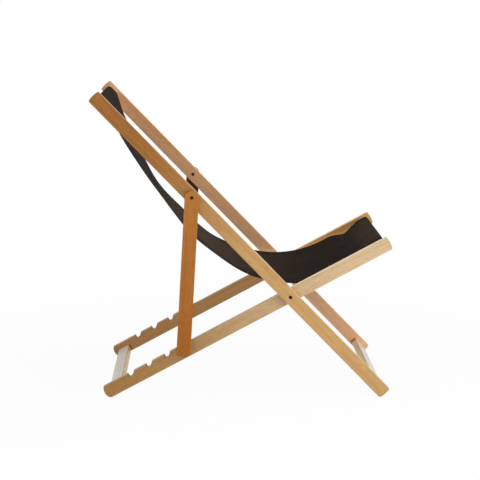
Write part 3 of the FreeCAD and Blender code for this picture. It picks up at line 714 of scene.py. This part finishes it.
class Sling:
    """Places on the sling's surface: rows along the cloth, y across it and a lift off its middle."""

    def __init__(self):
        self.line, self.hung, self.upward, self.head_row, self.front_row = sling_line()
        for seam in (self.head_row, self.front_row):
            near = slice(seam - SEAM_EASE_POINTS, seam + SEAM_EASE_POINTS + 1)
            self.line[near] = eased(self.line[near], SEAM_EASE_ROUNDS)
        self.normals = normals_of(self.line)
        steps = np.linalg.norm(np.diff(self.line, axis=0), axis=1)
        self.along = np.concatenate(([0.0], np.cumsum(steps)))
        self.length = self.along[self.front_row] - self.along[self.head_row]

    def ripple(self, rows, y):
        """Slack ripples of the hung stretch, puckers at the seams and a little curl along the edges."""
        share = self.hung[rows]
        held = np.sin(math.pi * share) ** HELD_SHARPNESS
        across = y / (SLING_WIDTH / 2)
        broad = BROAD_RIPPLE * np.sin(BROAD_ALONG * share + BROAD_ACROSS[0] * across)
        broad = broad * np.cos(BROAD_ACROSS[1] * across + BROAD_PHASE)
        cross = CROSS_RIPPLE * np.sin(CROSS_ALONG * share + CROSS_ACROSS * across + CROSS_PHASE)
        rim = np.exp(-(1 - np.abs(across)) / CURL_SHARE)
        curl = EDGE_CURL * rim * np.sin(CURL_ALONG * share + CURL_PHASE * np.sign(across))
        sway = PUCKER_SWAY * np.sin(PUCKER_ACROSS[1] * across)
        pucker = SEAM_PUCKER * np.sin(PUCKER_ACROSS[0] * across + sway)
        from_seam = np.minimum(share, 1 - share) * self.length
        pucker = pucker * np.exp(-from_seam / PUCKER_REACH) * np.minimum(1, from_seam / PUCKER_START)
        inside = (share > 0) & (share < 1)
        return np.where(inside, held * (broad + cross + curl) + pucker, 0.0)

    def place(self, rows, y, lift):
        """Points at those rows and widths, lifted off the cloth's middle along its normal."""
        rows, y, lift = np.broadcast_arrays(rows, y, lift)
        up = self.normals[rows] * self.upward[rows][..., None]
        from_head, from_front = self.hung[rows] * self.length, (1 - self.hung[rows]) * self.length
        rise = smooth_rise(np.minimum(from_head / HEAD_SKEW_EASE, from_front / FRONT_SKEW_EASE))
        lean = (SKEW * up[..., 0] - TILT * up[..., 1]) * rise * -y / (SLING_WIDTH / 2)
        raised = up * (lean + self.ripple(rows, y))[..., None]
        flat = self.line[rows] + raised + self.normals[rows] * lift[..., None]
        return np.stack((flat[..., 0], y, flat[..., 1]), axis=-1)


def hem_share(y):
    """1 on the folded side hems and 0 on the single cloth between them."""
    from_edge = SLING_WIDTH / 2 - np.abs(y)
    return smooth_rise((SIDE_HEM - from_edge) / HEM_STEP)


# Distances from an edge of the cloth at which its hem has points, and how many the cloth has between the hems
HEM_STATIONS = (0.0004, 0.0025, 0.006, 0.011, 0.0165, 0.0188, 0.0194, 0.0200, 0.0215)
MIDDLE_STATIONS = 60
# Points round a folded edge: how far in they lie, and at what share of the hem's thickness
EDGE_FOLD = ((0.00012, 0.15), (0.0, 0.50), (0.00012, 0.85))


def across_stations():
    """Widths at which the cloth has points, closer together on the side hems."""
    near = SLING_WIDTH / 2 - np.array(HEM_STATIONS)
    inner = np.linspace(-near[-1], near[-1], MIDDLE_STATIONS + 2)[1:-1]
    return np.concatenate((-near, inner, near[::-1]))


def mesh_object(name, points, faces, material):
    mesh = bpy.data.meshes.new(name)
    mesh.from_pydata([tuple(point) for point in points], [], [tuple(face) for face in faces])
    mesh.materials.append(material)
    made = bpy.data.objects.new(name, mesh)
    bpy.context.scene.collection.objects.link(made)
    return made


def make_sling(sling, material):
    """A closed skin round the cloth: its upper face, a folded edge, its lower face and the other edge."""
    widths = across_stations()
    thick = CLOTH + HEM_EXTRA * hem_share(widths)
    upper, lower = np.full_like(widths, OUTER_FACE), OUTER_FACE - thick
    fold_y = np.array([SLING_WIDTH / 2 - inset for inset, _ in EDGE_FOLD])
    fold_lift = np.array([OUTER_FACE - (CLOTH + HEM_EXTRA) * share for _, share in EDGE_FOLD])
    ring_y = np.concatenate((widths, fold_y, widths[::-1], -fold_y))
    ring_lift = np.concatenate((upper, fold_lift, lower[::-1], fold_lift[::-1]))
    rows, size = len(sling.line), len(ring_y)
    points = sling.place(np.arange(rows)[:, None], ring_y[None], ring_lift[None]).reshape(-1, 3)
    faces = []
    for row in range(rows - 1):
        first, second = row * size, (row + 1) * size
        for k in range(size):
            after = (k + 1) % size
            faces.append((first + k, first + after, second + after, second + k))
    count, folds = len(widths), len(EDGE_FOLD)
    last = (rows - 1) * size

    def under(k):
        """The point of the lower face below point k of the upper one."""
        return 2 * count + folds - 1 - k

    for k in range(count - 1):
        faces.append((k + 1, k, under(k), under(k + 1)))
        faces.append((last + k, last + k + 1, last + under(k + 1), last + under(k)))
    left_edge = list(range(count - 1, count + folds + 1))
    right_edge = [0] + list(range(size - 1, size - folds - 2, -1))
    faces += [left_edge, right_edge[::-1]]
    faces += [[last + k for k in left_edge[::-1]], [last + k for k in right_edge]]
    made = mesh_object("canvas_sling", points, faces, material)
    layer = made.data.uv_layers.new(name="weave")
    index = np.empty(len(made.data.loops), np.int32)
    made.data.loops.foreach_get("vertex_index", index)
    map_points = np.stack((ring_y[index % size], sling.along[index // size]), axis=1)
    layer.uv.foreach_set("vector", map_points.astype(np.float32).ravel())
    made.data.polygons.foreach_set("use_smooth", np.ones(len(made.data.polygons), bool))
    return made


# Stitches
STITCH_PITCH = 0.0050
STITCH_LENGTH = 0.0037
STITCH_THREAD = 0.0009
STITCH_SINK = 0.0002
STITCH_SIDES = 6
STITCH_RINGS = 5
HEM_STITCH_IN = 0.003  # from a side hem's inner edge to its stitches
SEAM_STITCH_IN = 0.004  # from the cloth's edges to a seam's first stitch
SEAM_POINTS = 90
SEAM_ROWS = (1, 3)  # rows of the hanging cloth, from a seam, that are sewn
BARE_TAIL_ROWS = 7  # rows at each tail that the hem's stitches leave bare above
BARE_SEAM_ROWS = 6  # rows at each seam that they leave bare below


def stitch_rows(sling):
    """Points of each sewn row: along both side hems and twice across each hem seam, above and below."""
    rows = np.arange(len(sling.line))
    hung = np.arange(sling.head_row, sling.front_row + 1)
    hem_y = SLING_WIDTH / 2 - SIDE_HEM + HEM_STITCH_IN
    above, below = OUTER_FACE - STITCH_SINK, OUTER_FACE - CLOTH - HEM_EXTRA + STITCH_SINK
    found = []
    for y in (-hem_y, hem_y):
        found.append(sling.place(rows[BARE_TAIL_ROWS:-BARE_TAIL_ROWS], y, above))
        found.append(sling.place(hung[BARE_SEAM_ROWS:-BARE_SEAM_ROWS], y, below))
    widths = np.linspace(-1, 1, SEAM_POINTS) * (SLING_WIDTH / 2 - SEAM_STITCH_IN)
    tail = OUTER_FACE - 2 * (CLOTH + HEM_EXTRA) - TAIL_GAP + STITCH_SINK
    head_rows = [sling.head_row + step for step in SEAM_ROWS]
    front_rows = [sling.front_row - step for step in SEAM_ROWS[::-1]]
    for row in head_rows + front_rows:
        found.append(sling.place(row, widths, above))
        found.append(sling.place(row, widths, tail))
    return found


def stitch_tree(material):
    """Short rounded stitches at even steps along every edge of a wire mesh."""
    tree = bpy.data.node_groups.new("sewn_rows", "GeometryNodeTree")
    for name, kind in (("Rows", "NodeSocketGeometry"), ("Pitch", "NodeSocketFloat"),
                       ("Length", "NodeSocketFloat"), ("Thread", "NodeSocketFloat")):
        tree.interface.new_socket(name, in_out="INPUT", socket_type=kind)
    tree.interface.new_socket("Stitches", in_out="OUTPUT", socket_type="NodeSocketGeometry")
    graph = Graph(tree)
    rows = graph.node("NodeGroupInput", output="Rows")
    pitch, length, thickness = rows.other("Pitch"), rows.other("Length"), rows.other("Thread")
    curves = graph.node("GeometryNodeMeshToCurve", None, {"Mesh": rows})
    spaced = graph.node("GeometryNodeResampleCurve", {"mode": "LENGTH"}, {"Curve": curves, "Length": pitch})
    round_bead = {"Segments": STITCH_SIDES, "Rings": STITCH_RINGS, "Radius": 0.5}
    bead = graph.node("GeometryNodeMeshUVSphere", None, round_bead)
    size = graph.vector(thickness, thickness, length)
    shaped = graph.node("GeometryNodeTransform", None, {"Geometry": bead, "Scale": size})
    run = graph.node("GeometryNodeInputTangent")
    turn = graph.node("FunctionNodeAlignRotationToVector", {"axis": "Z"}, {"Vector": run})
    placed = graph.node("GeometryNodeInstanceOnPoints", None,
                        {"Points": spaced, "Instance": shaped, "Rotation": turn})
    real = graph.node("GeometryNodeRealizeInstances", None, {"Geometry": placed})
    smooth = graph.node("GeometryNodeSetShadeSmooth", None, {"Geometry": real})
    coloured = graph.node("GeometryNodeSetMaterial", None, {"Geometry": smooth, "Material": material})
    graph.node("NodeGroupOutput", None, {"Stitches": coloured})
    return tree


def make_stitches(sling, material):
    rows = stitch_rows(sling)
    points = np.concatenate(rows)
    mesh = bpy.data.meshes.new("sewn_wires")
    starts = np.cumsum([0] + [len(row) for row in rows])
    edges = [(k, k + 1) for first, last in zip(starts, starts[1:]) for k in range(first, last - 1)]
    mesh.from_pydata([tuple(point) for point in points], edges, [])
    wires = bpy.data.objects.new("sewn_wires", mesh)
    bpy.context.scene.collection.objects.link(wires)
    modifier = wires.modifiers.new("sewn_rows", "NODES")
    modifier.node_group = stitch_tree(material)
    sizes = {"Pitch": STITCH_PITCH, "Length": STITCH_LENGTH, "Thread": STITCH_THREAD}
    for item in modifier.node_group.interface.items_tree:
        if item.in_out == "INPUT" and item.name in sizes:
            modifier[item.identifier] = sizes[item.name]
    bpy.context.view_layer.update()
    evaluated = wires.evaluated_get(bpy.context.evaluated_depsgraph_get())
    made = bpy.data.objects.new("sling_stitches", bpy.data.meshes.new_from_object(evaluated))
    bpy.data.objects.remove(wires)
    bpy.context.scene.collection.objects.link(made)
    return made


def bend_with_fold(piece):
    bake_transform(piece)


# Floor, backdrop and light
FLOOR_SIZE = 60.0
FLOOR_WHITE = rgb(0.86, 0.86, 0.86)
FLOOR_GLOW = 0.95  # share of plain white under the chair, where the rest takes its shadow
SHADOW_REACH = (0.7, 2.0)  # distances between which the floor and the wall turn all white
WALL_BEHIND = 12.0
WALL_HEIGHT = 14.0
SKY_LIGHT = 0.45


def seen(graph):
    """1 for rays straight from the camera, through something clear or reflected."""
    path = graph.node("ShaderNodeLightPath")
    clear = path.math("MAXIMUM", path.other("Is Transmission Ray"))
    return clear.math("MAXIMUM", path.other("Is Glossy Ray"))


def make_surroundings():
    """A pale floor and a far wall that look plain white. The floor keeps the chair's shadow near it."""
    finish = Finish("studio_white")
    matt = finish.node("ShaderNodeBsdfDiffuse", None, {"Color": FLOOR_WHITE})
    glow = finish.node("ShaderNodeEmission", None, {"Color": rgb(1, 1, 1), "Strength": 1.0})
    place = finish.node("ShaderNodeTexCoord", output="Object")
    distance = finish.node("ShaderNodeVectorMath", {"operation": "LENGTH"}, {0: place}, "Value")
    white = FLOOR_GLOW + distance.ramp(*SHADOW_REACH) * (1 - FLOOR_GLOW)
    share = seen(finish) * white
    both = finish.node("ShaderNodeMixShader", None, {0: share, 1: matt, 2: glow})
    finish.node("ShaderNodeOutputMaterial", None, {"Surface": both})
    half = FLOOR_SIZE / 2
    corners = [(-half, -half, 0), (half, -half, 0), (half, half, 0), (-half, half, 0)]
    mesh_object("floor", corners, [(0, 1, 2, 3)], finish.material)
    corners = [(-half, WALL_BEHIND, 0), (half, WALL_BEHIND, 0), (half, WALL_BEHIND, WALL_HEIGHT),
               (-half, WALL_BEHIND, WALL_HEIGHT)]
    mesh_object("wall", corners, [(0, 1, 2, 3)], finish.material)


def make_sky():
    """White to the camera and in reflections, and a soft light for the rest."""
    world = bpy.data.worlds.new("studio")
    world.use_nodes = True
    bpy.context.scene.world = world
    world.node_tree.nodes.clear()
    graph = Graph(world.node_tree)
    level = SKY_LIGHT + seen(graph) * (1 - SKY_LIGHT)
    sky = graph.node("ShaderNodeBackground", None, {"Color": rgb(1, 1, 1), "Strength": level})
    graph.node("ShaderNodeOutputWorld", None, {"Surface": sky})


def make_lamp(name, place, target, size, power, colour, mirrored):
    lamp = bpy.data.lights.new(name, "AREA")
    lamp.shape = "DISK"
    lamp.size = size
    lamp.energy = power
    lamp.color = colour
    made = bpy.data.objects.new(name, lamp)
    made.location = place
    made.rotation_euler = (Vector(target) - Vector(place)).to_track_quat("-Z", "Y").to_euler()
    made.visible_glossy = mirrored
    bpy.context.scene.collection.objects.link(made)


def make_lights():
    soft_white, warm_white = (1.0, 0.99, 0.97), (1.0, 0.98, 0.95)
    make_lamp("top_light", place=(0.3, -0.3, 2.9), target=(0.1, 0, 0.3), size=2.2, power=22.0,
              colour=soft_white, mirrored=True)
    make_lamp("front_light", place=(2.4, -1.9, 0.7), target=(0.15, 0, 0.35), size=1.4, power=34.0,
              colour=warm_white, mirrored=True)
    make_lamp("broad_light", place=(-0.5, -3.6, 1.7), target=(0, 0, 0.45), size=2.6, power=42.0,
              colour=soft_white, mirrored=False)


# The camera's place and its aim, to the right and down from +Y
EYE_FROM_CROSSING = Vector((-0.259, -4.396, 0.881))
EYE_DOWN = math.radians(9.74)
EYE_RIGHT = math.radians(1.52)
EYE_ROLL = math.radians(-0.11)
EYE_LENS = 106.3
EYE_SENSOR = 36.0


def make_camera():
    camera = bpy.data.cameras.new("camera")
    camera.lens = EYE_LENS
    camera.sensor_width = EYE_SENSOR
    made = bpy.data.objects.new("camera", camera)
    look = Vector((math.sin(EYE_RIGHT) * math.cos(EYE_DOWN), math.cos(EYE_RIGHT) * math.cos(EYE_DOWN),
                   -math.sin(EYE_DOWN)))
    turn = look.to_track_quat("-Z", "Y").to_matrix().to_4x4() @ Matrix.Rotation(EYE_ROLL, 4, "Z")
    made.matrix_world = Matrix.Translation(CROSSING + EYE_FROM_CROSSING) @ turn
    bpy.context.scene.collection.objects.link(made)
    bpy.context.scene.camera = made


dress_frame()
sling = Sling()
cloth = make_sling(sling, canvas())
stitches = make_stitches(sling, thread())
for piece in (cloth, stitches):
    bend_with_fold(piece)
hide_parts("sling")

make_surroundings()
make_sky()
make_lights()
make_camera()
bpy.context.scene.view_settings.view_transform = "Standard"
